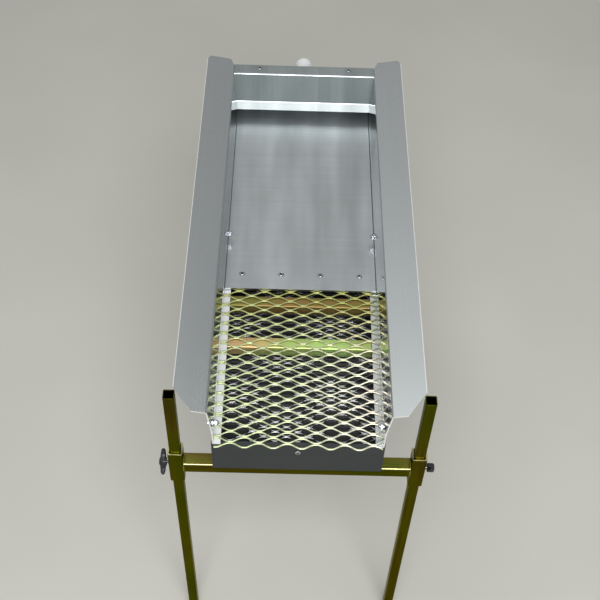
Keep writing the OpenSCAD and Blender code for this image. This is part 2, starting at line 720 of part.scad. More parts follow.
hopper_left_side();
hopper_right_side();
back_wall();
water_hood();
hood_rivets();
slick_plate();
deck_brace();
deck_rivets_row();
grizzly_mesh();
mesh_bar_front();
mesh_bar_rear();
box_tray();
front_plate();
front_plate_rivets();
rubber_mat();
riffle_mesh();
side_bolts();
side_washers();
side_nuts();
water_inlet();
inlet_gasket();
inlet_nut();
front_crossbar();
rear_crossbar();
stand_bolts();
stand_nuts();
front_left_sleeve();
front_right_sleeve();
rear_left_sleeve();
rear_right_sleeve();
front_left_leg();
front_right_leg();
rear_left_leg();
rear_right_leg();
front_left_screw();
front_right_screw();
rear_left_screw();
rear_right_screw();
front_left_knob();
front_right_knob();
rear_left_knob();
rear_right_knob();
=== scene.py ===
"""Looks for the wash trough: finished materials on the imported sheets, and modelled tubes, expanded
metal, rivets, bolts, clamp knobs, hose inlet and weld beads in place of the plain ones."""

import json
import math

import bmesh
import bpy
from mathutils import Euler, Matrix, Vector

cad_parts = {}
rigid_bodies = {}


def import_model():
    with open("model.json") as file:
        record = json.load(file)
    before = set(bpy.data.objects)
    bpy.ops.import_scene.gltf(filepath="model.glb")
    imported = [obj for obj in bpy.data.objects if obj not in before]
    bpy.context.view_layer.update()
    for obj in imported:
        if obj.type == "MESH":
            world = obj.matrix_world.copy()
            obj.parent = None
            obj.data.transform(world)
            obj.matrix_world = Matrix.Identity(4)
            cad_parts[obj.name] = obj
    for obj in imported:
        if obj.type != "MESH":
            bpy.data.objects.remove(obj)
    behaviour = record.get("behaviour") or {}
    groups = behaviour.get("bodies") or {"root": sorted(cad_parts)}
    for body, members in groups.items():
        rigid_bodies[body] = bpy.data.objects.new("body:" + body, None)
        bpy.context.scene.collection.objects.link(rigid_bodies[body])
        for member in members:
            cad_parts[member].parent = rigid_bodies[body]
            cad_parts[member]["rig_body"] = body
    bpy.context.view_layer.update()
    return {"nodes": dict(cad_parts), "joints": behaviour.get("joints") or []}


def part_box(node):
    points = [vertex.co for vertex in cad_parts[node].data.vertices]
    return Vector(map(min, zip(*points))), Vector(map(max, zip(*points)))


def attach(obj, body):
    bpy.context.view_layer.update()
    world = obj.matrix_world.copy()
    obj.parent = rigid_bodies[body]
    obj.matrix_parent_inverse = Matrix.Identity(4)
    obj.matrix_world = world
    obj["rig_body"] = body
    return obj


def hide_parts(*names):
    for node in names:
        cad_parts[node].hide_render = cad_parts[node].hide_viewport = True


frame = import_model()

MM = 0.001
X, Y, Z = Vector((1, 0, 0)), Vector((0, 1, 0)), Vector((0, 0, 1))


# Camera ---------------------------------------------------------------------------------------

rim_lo, rim_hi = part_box("hopper_right_side")
rim_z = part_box("water_hood")[1].z
front_rim = Vector((0, rim_lo.y, rim_z))
CAMERA_FROM_FRONT_RIM = Vector((-0.0233, -0.7846, 1.1990))
CAMERA_TILT_ROLL_TURN = (39.484, -1.532, 0.615)
LENS, SENSOR = 62.54, 36

camera = bpy.data.objects.new("camera", bpy.data.cameras.new("camera"))
camera.location = front_rim + CAMERA_FROM_FRONT_RIM
camera.rotation_euler = Euler([math.radians(angle) for angle in CAMERA_TILT_ROLL_TURN], "XYZ")
camera.data.lens = LENS
camera.data.sensor_width = SENSOR
bpy.context.scene.collection.objects.link(camera)
bpy.context.scene.camera = camera
bpy.context.scene.view_settings.view_transform = "Standard"


# Node materials -------------------------------------------------------------------------------

class Paint:
    """A node material: its Principled shader, and short calls for the nodes that feed it."""

    def __init__(self, name):
        self.material = bpy.data.materials.new(name)
        self.material.use_nodes = True
        self.tree = self.material.node_tree
        self.shader = self.tree.nodes["Principled BSDF"]
        self.coords = self.add("ShaderNodeTexCoord")

    def add(self, kind, inputs=None, **settings):
        made = self.tree.nodes.new(kind)
        for name, value in settings.items():
            setattr(made, name, value)
        for name, value in (inputs or {}).items():
            self.feed(made.inputs[name], value)
        return made

    def feed(self, socket, value):
        if isinstance(value, bpy.types.NodeSocket):
            self.tree.links.new(value, socket)
        else:
            socket.default_value = value

    def set(self, **inputs):
        for name, value in inputs.items():
            self.feed(self.shader.inputs[name.replace("_", " ")], value)

    def noise(self, per_metre, detail=3, stretch=(1, 1, 1)):
        """Noise with this many cells a metre, fewer along an axis whose stretch is under 1."""
        scale = [per_metre * share for share in stretch]
        place = self.add("ShaderNodeMapping", {"Vector": self.coords.outputs["Object"], "Scale": scale})
        inputs = {"Vector": place.outputs["Vector"], "Scale": 1, "Detail": detail}
        return self.add("ShaderNodeTexNoise", inputs).outputs["Fac"]

    def span(self, value, low, high, from_low=0.3, from_high=0.7):
        """Runs from low to high as value runs between the last two, which fit a noise's usual range."""
        inputs = {"Value": value, "From Min": from_low, "From Max": from_high, "To Min": low, "To Max": high}
        return self.add("ShaderNodeMapRange", inputs).outputs["Result"]

    def maths(self, operation, first, second=0.0):
        made = self.add("ShaderNodeMath", operation=operation)
        self.feed(made.inputs[0], first)
        self.feed(made.inputs[1], second)
        return made.outputs[0]

    def ramp(self, value, stops):
        made = self.add("ShaderNodeValToRGB", {"Fac": value})
        elements = made.color_ramp.elements
        while len(elements) < len(stops):
            elements.new(0.5)
        for element, (at, colour) in zip(elements, stops):
            element.position = at
            element.color = (*colour, 1)
        return made.outputs["Color"]

    def mix(self, share, first, second):
        """first where share is 0, second where it is 1; both are colours."""
        made = self.add("ShaderNodeMix", data_type="RGBA")
        self.feed(made.inputs[0], share)
        for socket, colour in ((made.inputs[6], first), (made.inputs[7], second)):
            self.feed(socket, colour if isinstance(colour, bpy.types.NodeSocket) else (*colour, 1))
        return made.outputs[2]

    def bump(self, height, depth, strength=1.0):
        """depth is the height of the relief, in metres."""
        made = self.add("ShaderNodeBump", {"Height": height, "Distance": depth, "Strength": strength})
        self.feed(self.shader.inputs["Normal"], made.outputs["Normal"])

    def along(self, axis, vector=None):
        """The X, Y or Z of a vector, or of the place on the object if no vector is given."""
        parts = self.add("ShaderNodeSeparateXYZ", {"Vector": vector or self.coords.outputs["Object"]})
        return parts.outputs[axis]

    def size(self, axis, vector=None):
        """The same, without its sign."""
        return self.maths("ABSOLUTE", self.along(axis, vector))


# Share of a noise's cells that each axis keeps, for each way that the grain can run
ALONG = {"X": (0.012, 1, 1), "Y": (1, 0.012, 1), "Z": (1, 0.3, 0.012), "slope": (1, 0.012, 0.012)}
# Pale colour for the sheared edges, partly real and partly a painted highlight, and for the painted ledge
# highlight
CUT_AND_HIGHLIGHT_METAL = (0.95, 0.96, 0.96)
WALL_SMOOTHING = 0.13
EDGE_BAND = 1.3 * MM
# Share of the painted ledge highlight that the right ledge keeps
RIGHT_LEDGE_HIGHLIGHT = 0.25


def brushed(name, grain, dark, light, roughness, streaky=1.0, side=None, dark_bands=0.0):
    """Brushed aluminium sheet with cloudy reflections; streaky is the share of its brush marks.

    The last argument is how much darker the sheet gets in broad bands that run down it. side is
    for the hopper's sides: (x of the wing's tip, z of the ledge, z of the rim). Their sheared edges are
    paler and rougher, partly as matt sheared metal and partly as a painted highlight that runs a
    millimetre onto the wing; their ledges are painted pale as a highlight, the left one above all; and
    their walls are smoother.
    """
    paint = Paint(name)
    fine = paint.noise(1400, 2, ALONG[grain])
    coarse = paint.noise(210, 3, ALONG[grain])
    cloud = paint.noise(9, 3)
    streaks = paint.maths("ADD", paint.maths("MULTIPLY", fine, 0.45), paint.maths("MULTIPLY", coarse, 0.55))
    tone = paint.mix(paint.span(streaks, 0.5 - 0.5 * streaky, 0.5 + 0.5 * streaky), dark, light)
    tone = paint.mix(paint.span(cloud, 0, 0.3), tone, [c * 0.88 for c in dark])
    # Darker in broad bands that run down the sheet
    band = paint.noise(24, 2, (1, 0.16, 0.16))
    tone = paint.mix(paint.span(band, 0, dark_bands), tone, [c * 0.45 for c in dark])
    rough = paint.maths("ADD", paint.span(streaks, -0.04 * streaky, 0.04 * streaky),
                        paint.span(cloud, roughness - 0.02, roughness + 0.04))
    if side:
        tip_x, ledge_top, rim = side
        height = paint.size("Z")
        # Sheared edges and a band beside the wing's tip go pale: partly matt sheared metal, partly a painted
        # highlight line
        pale_mask = paint.span(paint.size("Y", paint.coords.outputs["Normal"]), 0, 1, 0.35, 0.6)
        tip = paint.span(paint.size("X"), 0, 1, tip_x - EDGE_BAND, tip_x - EDGE_BAND + 0.3 * MM)
        pale_mask = paint.maths("MAXIMUM", pale_mask, tip)
        # The ledge's top is painted pale as a highlight, full on the left and weaker on the right
        ledge = paint.span(height, 1, 0, ledge_top + 0.2 * MM, ledge_top + 0.5 * MM)
        ledge_highlight_share = paint.span(paint.along("X"), 1, RIGHT_LEDGE_HIGHLIGHT, -1 * MM, 1 * MM)
        ledge = paint.maths("MULTIPLY", ledge, ledge_highlight_share)
        pale_mask = paint.maths("MAXIMUM", pale_mask, ledge)
        smooth = paint.span(height, WALL_SMOOTHING, 0, rim - 5 * MM, rim - 1 * MM)
        rough = paint.maths("ADD", paint.maths("SUBTRACT", rough, smooth), paint.maths("MULTIPLY", pale_mask, 0.25))
        tone = paint.mix(pale_mask, tone, CUT_AND_HIGHLIGHT_METAL)
        paint.set(Metallic=paint.span(pale_mask, 1, 0.3, 0, 1))
    else:
        paint.set(Metallic=1.0)
    paint.set(Base_Color=tone, Roughness=rough)
    paint.bump(streaks, 0.02 * MM, 0.3 * streaky)
    return paint.material


def chromate(name, stops, grain, roughness, wear_and_highlight=(0.6, 0.55, 0.3), rear=None, metallic=1.0, across=None,
             edge_tint=(1, 1, 1)):
    """Yellow-passivated zinc on steel: colour drifts in bands along the piece, with fine streaks.

    across is (start x, end x) where the colours run through once from left to right. rear is
    (colour, start y, end y) where the colour turns to that one towards the back. edge_tint
    colours what shows at a glancing angle. On the pale mesh, the run across paints a highlight
    that grows towards the right, and the darker olive towards the back is painted shade.
    """
    paint = Paint(name)
    drift = paint.noise(16, 2, [max(share, 0.3) for share in ALONG[grain]])
    streak = paint.noise(330, 2, ALONG[grain])
    speck = paint.noise(900, 2)
    value = paint.maths("ADD", paint.span(drift, 0, 0.86), paint.span(streak, -0.08, 0.22))
    if across:
        place = paint.span(paint.along("X"), 0.1, 0.85, *across)
        value = paint.maths("ADD", place, paint.span(value, -0.16, 0.2, 0, 1))
    colour = paint.ramp(value, stops)
    colour = paint.mix(paint.span(speck, 0, 0.5, 0.62, 0.75), colour, wear_and_highlight)
    if rear:
        tint, start, end = rear
        wander = paint.maths("ADD", paint.along("Y"), paint.span(drift, -0.04, 0.04))
        colour = paint.mix(paint.span(wander, 0, 1, start, end), colour, tint)
    paint.set(
        Base_Color=colour,
        Metallic=metallic,
        Specular_Tint=(*edge_tint, 1),
        Roughness=paint.maths("ADD", paint.span(streak, roughness - 0.05, roughness + 0.07),
                              paint.span(speck, -0.02, 0.03)),
    )
    paint.bump(paint.maths("ADD", streak, paint.maths("MULTIPLY", speck, 0.4)), 0.03 * MM, 0.3)
    return paint.material


def plated(name, dark, light, roughness):
    """Bright zinc or rivet alloy with small handling marks."""
    paint = Paint(name)
    mottle = paint.noise(500, 3)
    paint.set(
        Base_Color=paint.mix(paint.span(mottle, 0, 1), dark, light),
        Metallic=1.0,
        Roughness=paint.span(paint.noise(1300, 2), roughness - 0.05, roughness + 0.09),
    )
    paint.bump(mottle, 0.02 * MM, 0.3)
    return paint.material


def moulded(name, dark, light, roughness, grain_per_metre, grain_depth):
    """Moulded plastic or rubber with a fine grain."""
    paint = Paint(name)
    grain = paint.noise(grain_per_metre, 4)
    paint.set(
        Base_Color=paint.mix(paint.span(paint.noise(70, 3), 0, 1), dark, light),
        Roughness=paint.span(grain, roughness - 0.06, roughness + 0.08),
    )
    paint.bump(grain, grain_depth, 0.5)
    return paint.material


wing_tip_x = rim_hi.x
ledge_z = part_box("slick_plate")[0].z
mesh_lo, mesh_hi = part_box("grizzly_mesh")

# Colours that each plating drifts through, and where each one comes
# Shaded copy of the olive zinc, painted shade: upright tubes and crossbar faces that don't look up
SHADE_ZINC_STOPS = [
    (0.0, (0.034, 0.046, 0.003)), (0.3, (0.058, 0.064, 0.004)), (0.5, (0.078, 0.070, 0.006)),
    (0.72, (0.060, 0.038, 0.008)), (1.0, (0.040, 0.052, 0.003)),
]
# Lit copy of the same zinc, painted light: crossbar faces that look up, and the welds
LIT_ZINC_STOPS = [
    (0.0, (0.13, 0.165, 0.016)), (0.3, (0.19, 0.20, 0.024)), (0.5, (0.24, 0.21, 0.03)),
    (0.72, (0.20, 0.14, 0.03)), (1.0, (0.16, 0.19, 0.018)),
]
# Cream of the painted highlight on tube rims and upper corners
HIGHLIGHT_STOPS = [
    (0.0, (0.50, 0.48, 0.20)), (0.4, (0.70, 0.66, 0.36)), (0.7, (0.62, 0.50, 0.26)),
    (1.0, (0.74, 0.72, 0.46)),
]
# Front mesh bar: a lit copy of the zinc, painted light, with hues that run from left to right
LIT_BAR_STOPS = [
    (0.0, (0.55, 0.33, 0.15)), (0.22, (0.74, 0.52, 0.24)), (0.42, (0.52, 0.66, 0.20)),
    (0.7, (0.56, 0.82, 0.26)), (1.0, (0.34, 0.26, 0.08)),
]
BROWN_STOPS = [
    (0.0, (0.16, 0.18, 0.03)), (0.35, (0.26, 0.22, 0.05)), (0.6, (0.32, 0.19, 0.06)),
    (1.0, (0.22, 0.20, 0.04)),
]
# Grizzly mesh: pale plating, painted paler as a highlight and whitest at the right
PALE_LIT_MESH_STOPS = [
    (0.0, (0.58, 0.66, 0.36)), (0.3, (0.68, 0.76, 0.44)), (0.5, (0.80, 0.86, 0.54)),
    (0.72, (0.96, 0.94, 0.74)), (0.85, (0.94, 0.84, 0.68)), (1.0, (0.96, 0.95, 0.80)),
]
SILVER_STOPS = [
    (0.0, (0.46, 0.46, 0.48)), (0.5, (0.78, 0.78, 0.81)), (1.0, (0.58, 0.58, 0.61)),
]
mesh_span = (mesh_lo.x, mesh_hi.x)
# Where the grizzly mesh turns darker olive towards the back, a painted shade
mesh_shade_turn = [mesh_lo.y + (mesh_hi.y - mesh_lo.y) * share for share in (0.4, 0.95)]

side_sheet = brushed("side sheet", "Y", (0.66, 0.69, 0.70), (0.72, 0.75, 0.76), 0.25, 0.3,
                     (wing_tip_x, ledge_z, rim_z))
wall_sheet = brushed("wall sheet", "Y", (0.60, 0.62, 0.62), (0.70, 0.72, 0.72), 0.25)
slick_sheet = brushed("slick sheet", "X", (0.69, 0.73, 0.75), (0.87, 0.91, 0.94), 0.36, 0.6, dark_bands=0.5)
hood_sheet = brushed("hood sheet", "slope", (0.60, 0.66, 0.67), (0.75, 0.81, 0.82), 0.2, 0.5, dark_bands=0.4)
box_sheet = brushed("box sheet", "Y", (0.48, 0.49, 0.50), (0.56, 0.57, 0.58), 0.28, 0.4)
# The front plate's near-black tone is painted shade on plain aluminium
front_sheet_shaded = brushed("front sheet, painted shade", "X", (0.056, 0.065, 0.070), (0.076, 0.087, 0.094), 0.32, 0.6)
# The olive zinc comes in a lit copy and shaded copies: painted light and painted shade
tube_across_lit = chromate("tube across, painted light", LIT_ZINC_STOPS, "X", 0.28, wear_and_highlight=(0.3, 0.28, 0.08), metallic=0.7)
tube_upright_shaded = chromate("tube upright, painted shade", SHADE_ZINC_STOPS, "Z", 0.26, wear_and_highlight=(0.12, 0.11, 0.03),
                        edge_tint=(0.7, 0.7, 0.45))
tube_shaded = chromate("tube across, painted shade", SHADE_ZINC_STOPS, "X", 0.28, wear_and_highlight=(0.12, 0.11, 0.03),
                     edge_tint=(0.7, 0.7, 0.45))
# Painted highlight for the tubes' rims and upper corners
tube_highlight = chromate("tube edge, painted highlight", HIGHLIGHT_STOPS, "X", 0.3)
# Painted light: the front mesh bar is a brighter copy of the zinc
tube_bar_lit = chromate("bar tube, painted light", LIT_BAR_STOPS, "X", 0.3, metallic=0.6, across=mesh_span)
tube_brown = chromate("brown tube", BROWN_STOPS, "X", 0.3, metallic=0.55)
# Grizzly mesh: painted highlight that grows towards the right, painted shade towards the back
pale_mesh = chromate("pale mesh, painted light", PALE_LIT_MESH_STOPS, "X", 0.3, rear=((0.46, 0.47, 0.16), *mesh_shade_turn),
                     metallic=0.75, across=mesh_span)
silver_mesh = chromate("silver mesh", SILVER_STOPS, "X", 0.24, wear_and_highlight=(0.8, 0.8, 0.82))
zinc = plated("bright zinc", (0.36, 0.38, 0.41), (0.56, 0.58, 0.62), 0.2)
rivet_alloy = plated("rivet alloy", (0.52, 0.54, 0.55), (0.68, 0.69, 0.70), 0.3)
# Near black: the mandrel stub, painted as the shade in the rivet's hollow
mandrel = plated("mandrel, painted shade", (0.010, 0.010, 0.011), (0.03, 0.03, 0.032), 0.5)
rubber = moulded("black rubber", (0.014, 0.014, 0.015), (0.026, 0.026, 0.027), 0.55, 900, 0.1 * MM)
nylon = moulded("white nylon", (0.78, 0.79, 0.78), (0.88, 0.89, 0.88), 0.32, 500, 0.03 * MM)
knob_plastic = moulded("black plastic", (0.016, 0.016, 0.018), (0.03, 0.03, 0.033), 0.36, 1600, 0.06 * MM)


# Mesh building --------------------------------------------------------------------------------

def axis_frame(origin, axis, across):
    """A matrix whose local Z is axis and whose local X is across, at origin."""
    side = axis.cross(across)
    rows = [(across[i], side[i], axis[i], origin[i]) for i in range(3)]
    return Matrix([*rows, (0, 0, 0, 1)])


def loft(bm, rings, closed=False, material=0):
    """Skins rings of equally many points. The ends are capped, unless the last ring joins the first."""
    rows = [[bm.verts.new(point) for point in ring] for ring in rings]
    count = len(rings[0])
    pairs = list(zip(rows, rows[1:])) + ([(rows[-1], rows[0])] if closed else [])
    faces = [bm.faces.new((a[i - 1], a[i], b[i], b[i - 1])) for a, b in pairs for i in range(count)]
    if not closed:
        faces += [bm.faces.new(rows[0]), bm.faces.new(rows[-1])]
    for face in faces:
        face.material_index = material


def circle(place, radius, z, sides=32):
    """Ring of points; radius is a number or a function of the angle."""
    ring = []
    for i in range(sides):
        angle = 2 * math.pi * i / sides
        reach = radius(angle) if callable(radius) else radius
        ring.append(place @ Vector((reach * math.cos(angle), reach * math.sin(angle), z)))
    return ring


def lathe(bm, place, profile, sides=32, closed=False, material=0):
    """Turns (radius, height) points about the frame's axis."""
    loft(bm, [circle(place, radius, z, sides) for radius, z in profile], closed, material)


def hexagon(bm, place, width, low, high, chamfer=0.6 * MM, bore=0.0, material=0):
    """Hexagonal prism whose corners are turned off at both ends, with a bore if it has one."""
    sixth = math.radians(60)
    slope = 1.9

    def ring(z):
        room = min(z - low, high - z)

        def radius(angle):
            flat = width / 2 / math.cos(angle % sixth - sixth / 2)
            return min(flat, width / 2 - 0.1 * MM + slope * room)
        return circle(place, radius, z, 48)

    steps = [0, 0.25, 0.5, 1]
    heights = [low + chamfer * s for s in steps] + [high - chamfer * s for s in reversed(steps)]
    rings = [ring(z) for z in heights]
    if bore:
        rings += [circle(place, bore, high, 48), circle(place, bore, low, 48)]
    loft(bm, rings, closed=bool(bore), material=material)


def threaded(bm, place, radius, pitch, low, high, sides=20, material=0):
    """Rod with a helical thread between low and high."""
    depth = 0.55 * pitch
    steps = max(2, round((high - low) / pitch * 6))
    rings = []
    for step in range(steps + 1):
        z = low + (high - low) * step / steps
        ends = min(1, min(step, steps - step) / 3)

        def reach(angle, z=z, ends=ends):
            turn = (z / pitch - angle / (2 * math.pi)) % 1
            return radius - depth * (1 - ends * (1 - abs(2 * turn - 1)))
        rings.append(circle(place, reach, z, sides))
    loft(bm, rings, material=material)


def square_ring(place, side, radius, z, steps=4):
    """Square with rounded corners."""
    ring = []
    for quarter in range(4):
        sx, sy = ((1, 1), (-1, 1), (-1, -1), (1, -1))[quarter]
        centre = Vector((sx * (side / 2 - radius), sy * (side / 2 - radius)))
        for step in range(steps + 1):
            angle = math.radians(90 * (quarter + step / steps))
            x = centre.x + radius * math.cos(angle)
            y = centre.y + radius * math.sin(angle)
            ring.append(place @ Vector((x, y, z)))
    return ring


def solid_boxes(node):
    """(lowest, highest corner) of each separate solid in a CAD node."""
    bm = bmesh.new()
    bm.from_mesh(frame["nodes"][node].data)
    bmesh.ops.remove_doubles(bm, verts=bm.verts, dist=0.001 * MM)
    left = set(bm.verts)
    boxes = []
    while left:
        group, edge = [], [left.pop()]
        while edge:
            vert = edge.pop()
            group.append(vert.co.copy())
            near = {link.other_vert(vert) for link in vert.link_edges} & left
            left -= near
            edge.extend(near)
        low = Vector([min(co[i] for co in group) for i in range(3)])
        high = Vector([max(co[i] for co in group) for i in range(3)])
        boxes.append((low, high))
    bm.free()
    return sorted(boxes, key=lambda corners: tuple(corners[0]))


def piece(name, bm, materials, node, replaces=True, sharp=32):
    """Makes the object, which rides on the CAD node's body and usually stands for that node.

    Edges sharper than sharp degrees stay crisp.
    """
    mesh = bpy.data.meshes.new(name)
    bmesh.ops.recalc_face_normals(bm, faces=bm.faces)
    bm.to_mesh(mesh)
    bm.free()
    for material in materials:
        mesh.materials.append(material)
    mesh.shade_smooth()
    mesh.set_sharp_from_angle(angle=math.radians(sharp))
    made = bpy.data.objects.new(name, mesh)
    bpy.context.scene.collection.objects.link(made)
    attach(made, frame["nodes"][node]["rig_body"])
    if replaces:
        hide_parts(node)
    return made


# Sheet metal and other nodes that keep their CAD shape ----------------------------------------

def finish_node(node, material, edge=0.3 * MM):
    """Gives a CAD node its material and eases its sharp edges."""
    shape = frame["nodes"][node]
    shape.material_slots[0].material = material
    weld = shape.modifiers.new("weld", "WELD")
    weld.merge_threshold = 0.002 * MM
    flat = shape.modifiers.new("flat", "DECIMATE")
    flat.decimate_type = "DISSOLVE"
    flat.angle_limit = math.radians(0.5)
    ease = shape.modifiers.new("ease", "BEVEL")
    ease.width = edge
    ease.segments = 2
    ease.limit_method = "ANGLE"
    ease.angle_limit = math.radians(50)


for node in ("hopper_left_side", "hopper_right_side"):
    finish_node(node, side_sheet)
finish_node("back_wall", wall_sheet)
finish_node("water_hood", hood_sheet)
finish_node("slick_plate", slick_sheet)
finish_node("deck_brace", box_sheet)
finish_node("box_tray", box_sheet)
finish_node("front_plate", front_sheet_shaded)
finish_node("rubber_mat", rubber)
finish_node("inlet_gasket", rubber)
finish_node("side_washers", zinc, edge=0.15 * MM)


# Square tubes ---------------------------------------------------------------------------------

def tube_piece(node, material, axis, wall, corner, wear_and_highlight=(), shaded_sides=False):
    """Square tube with rolled corners, in the place of a CAD tube.

    The faces that it names, the "rims" or the upper "corners", get a cream painted highlight. With the
    last flag set, the faces that don't look up get the darker, shaded copy of the zinc as painted shade.
    """
    low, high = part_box(node)
    middle = (low + high) / 2
    run = abs((high - low).dot(axis))
    side = min(high - low)
    across = Y if axis != Y else X
    place = axis_frame(middle - axis * run / 2, axis, across)
    inside = side - 2 * wall
    inner_corner = max(corner - wall, 0.4 * MM)
    ease = 0.35 * MM
    rings = [
        square_ring(place, side - 2 * ease, corner - ease, 0),
        square_ring(place, side, corner, ease),
        square_ring(place, side, corner, run - ease),
        square_ring(place, side - 2 * ease, corner - ease, run),
        square_ring(place, inside + 2 * ease, inner_corner + ease, run),
        square_ring(place, inside, inner_corner, run - ease),
        square_ring(place, inside, inner_corner, ease),
        square_ring(place, inside + 2 * ease, inner_corner + ease, 0),
    ]
    bm = bmesh.new()
    loft(bm, rings, closed=True)
    for face in bm.faces:
        face.normal_update()
        squareness = max(abs(face.normal.dot(way)) for way in (X, Y, Z))
        is_rim = abs(face.normal.dot(axis)) > 0.5
        is_corner = squareness < 0.93 and face.normal.z > 0.3 and not is_rim
        # Rims and upper corners get the painted highlight; with the flag, faces that don't look up get
        # painted shade
        if (is_rim and "rims" in wear_and_highlight) or (is_corner and "corners" in wear_and_highlight):
            face.material_index = 1
        elif shaded_sides and face.normal.z < 0.3:
            face.material_index = 2
    return piece(f"{node}_tube", bm, [material, tube_highlight, tube_shaded], node)


corners = [f"{end}_{side}" for end in ("front", "rear") for side in ("left", "right")]
for corner in corners:
    tube_piece(f"{corner}_leg", tube_upright_shaded, Z, 1.5 * MM, 2.0 * MM)
    tube_piece(f"{corner}_sleeve", tube_upright_shaded, Z, 2.5 * MM, 2.2 * MM, wear_and_highlight=("rims",))
for end in ("front", "rear"):
    tube_piece(f"{end}_crossbar", tube_across_lit, X, 2.0 * MM, 2.6 * MM, wear_and_highlight=("corners",),
               shaded_sides=True)
tube_piece("mesh_bar_front", tube_bar_lit, X, 1.5 * MM, 2.2 * MM)
tube_piece("mesh_bar_rear", tube_brown, X, 1.5 * MM, 2.2 * MM)


# Weld beads between crossbars and sleeves -----------------------------------------------------

def bead(bm, start, end, radius, blobs=9):
    """Rippled weld bead along a line."""
    along = end - start
    axis = along.normalized()
    across = X if abs(axis.x) < 0.5 else Z
    place = axis_frame(start, axis, across)
    steps = blobs * 4
    rings = []
    for step in range(steps + 1):
        share = step / steps
        swell = 0.82 + 0.18 * abs(math.sin(math.pi * blobs * share))
        taper = min(1, 0.35 + 6 * min(share, 1 - share))
        rings.append(circle(place, radius * swell * taper, along.length * share, 12))
    loft(bm, rings)


for end in ("front", "rear"):
    bar_lo, bar_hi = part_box(f"{end}_crossbar")
    for side, x in (("left", bar_lo.x), ("right", bar_hi.x)):
        bm = bmesh.new()
        inset = 2.6 * MM
        proud = 0.2 * MM
        for z in (bar_lo.z - proud, bar_hi.z + proud):
            bead(bm, Vector((x, bar_lo.y + inset, z)), Vector((x, bar_hi.y - inset, z)), 2.0 * MM)
        for y in (bar_lo.y + 0.6 * MM, bar_hi.y - 0.6 * MM):
            bead(bm, Vector((x, y, bar_lo.z + inset)), Vector((x, y, bar_hi.z - inset)), 1.4 * MM)
        piece(f"{end}_{side}_weld", bm, [tube_across_lit], f"{end}_crossbar", replaces=False)


# Expanded metal -------------------------------------------------------------------------------

def expanded(node, name, material, long_pitch, short_pitch, strand, gauge, bond, twist, shift=0.0):
    """Raised expanded metal. Strands twist between their joints and lie flatter at them."""
    low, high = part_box(node)
    half = long_pitch / 2
    rows = math.floor(2 * (high.y - low.y) / short_pitch)
    row_l = (high.y - low.y) / rows
    middle_z = (low.z + high.z) / 2
    step = 1.15 * MM
    edge = 0.15 * MM
    count = math.ceil((high.x - low.x) / step)
    ease = 0.3 * gauge
    outline = [
        (-strand / 2, -gauge / 2 + ease), (-strand / 2, gauge / 2 - ease), (-strand / 2 + ease, gauge / 2),
        (strand / 2 - ease, gauge / 2), (strand / 2, gauge / 2 - ease), (strand / 2, -gauge / 2 + ease),
        (strand / 2 - ease, -gauge / 2), (-strand / 2 + ease, -gauge / 2),
    ]
    bm = bmesh.new()
    for row in range(rows):
        near = low.y + row * row_l + strand / 2 + (0 if row else edge)
        far = low.y + (row + 1) * row_l - strand / 2 - (0 if row < rows - 1 else edge)
        rings = []
        for i in range(count + 1):
            x = low.x + (high.x - low.x) * i / count
            cell = math.floor((x - shift) / half)
            run = min(1, max(0, (x - shift - cell * half - bond / 2) / (half - bond)))
            turn = math.sin(math.pi * run) ** 2
            share = run - 0.03 * math.sin(2 * math.pi * run)
            if (cell + row) % 2:
                share = 1 - share
            y = near + (far - near) * share
            z = middle_z + (share - 0.5) * 0.5 * MM
            angle = math.radians(4 + twist * turn + 3 * math.sin(5.1 * cell + 2.3 * row) * turn)
            lean, lift = math.cos(angle), math.sin(angle)
            rings.append([Vector((x, y + u * lean - v * lift, z + u * lift + v * lean)) for u, v in outline])
        loft(bm, rings)
    return piece(name, bm, [material], node, sharp=50)


expanded("grizzly_mesh", "grizzly_mesh_strands", pale_mesh,
         41 * MM, 18.6 * MM, 2.6 * MM, 1.6 * MM, 6 * MM, 32, shift=5 * MM)
expanded("riffle_mesh", "riffle_mesh_strands", silver_mesh,
         34 * MM, 17 * MM, 2.1 * MM, 1.2 * MM, 5.5 * MM, 40)


# Rivets ---------------------------------------------------------------------------------------

RIVET_HEAD_H = 1.3 * MM


def rivets(node):
    """Domed blind rivets with the stub of the mandrel in each head. The stub is painted near black as the
    shade in the hollow, and a near-black ring round the foot of each head is a painted shadow.
    """
    bm = bmesh.new()
    for low, high in solid_boxes(node):
        size = high - low
        middle = (low + high) / 2
        if node != "front_plate_rivets":
            axis, across = Z, X
        elif abs(middle.x) < size.x:
            axis, across = -Y, X
        else:
            axis, across = X * math.copysign(1, middle.x), Y
        length = abs(size.dot(axis))
        foot = middle - axis * (length / 2)
        place = axis_frame(foot, axis, across)
        head = length - RIVET_HEAD_H
        lathe(bm, place, [
            (1.6 * MM, 0), (2.7 * MM, 0.3 * MM), (3.0 * MM, 1.0 * MM), (2.8 * MM, 1.8 * MM),
            (2.0 * MM, 2.0 * MM), (2.0 * MM, head), (4.1 * MM, head), (4.15 * MM, head + 0.3 * MM),
            (4.0 * MM, head + 0.6 * MM),
            (3.6 * MM, head + 0.95 * MM), (3.0 * MM, head + 1.2 * MM), (2.55 * MM, head + 1.3 * MM),
            (2.2 * MM, head + 1.15 * MM), (2.1 * MM, head + 0.15 * MM),
        ], sides=28)
        lathe(bm, place, [
            (2.09 * MM, head + 0.1 * MM), (2.09 * MM, head + 0.2 * MM), (1.3 * MM, head + 0.35 * MM),
            (0.3 * MM, head + 0.4 * MM),
        ], sides=16, material=1)
        # Painted shadow: a near-black ring round the foot of the head
        lathe(bm, place, [
            (4.0 * MM, head), (4.5 * MM, head), (4.5 * MM, head + 0.15 * MM), (4.0 * MM, head + 0.25 * MM),
        ], sides=28, closed=True, material=1)
    return piece(f"{node}_domed", bm, [rivet_alloy, mandrel], node, sharp=40)


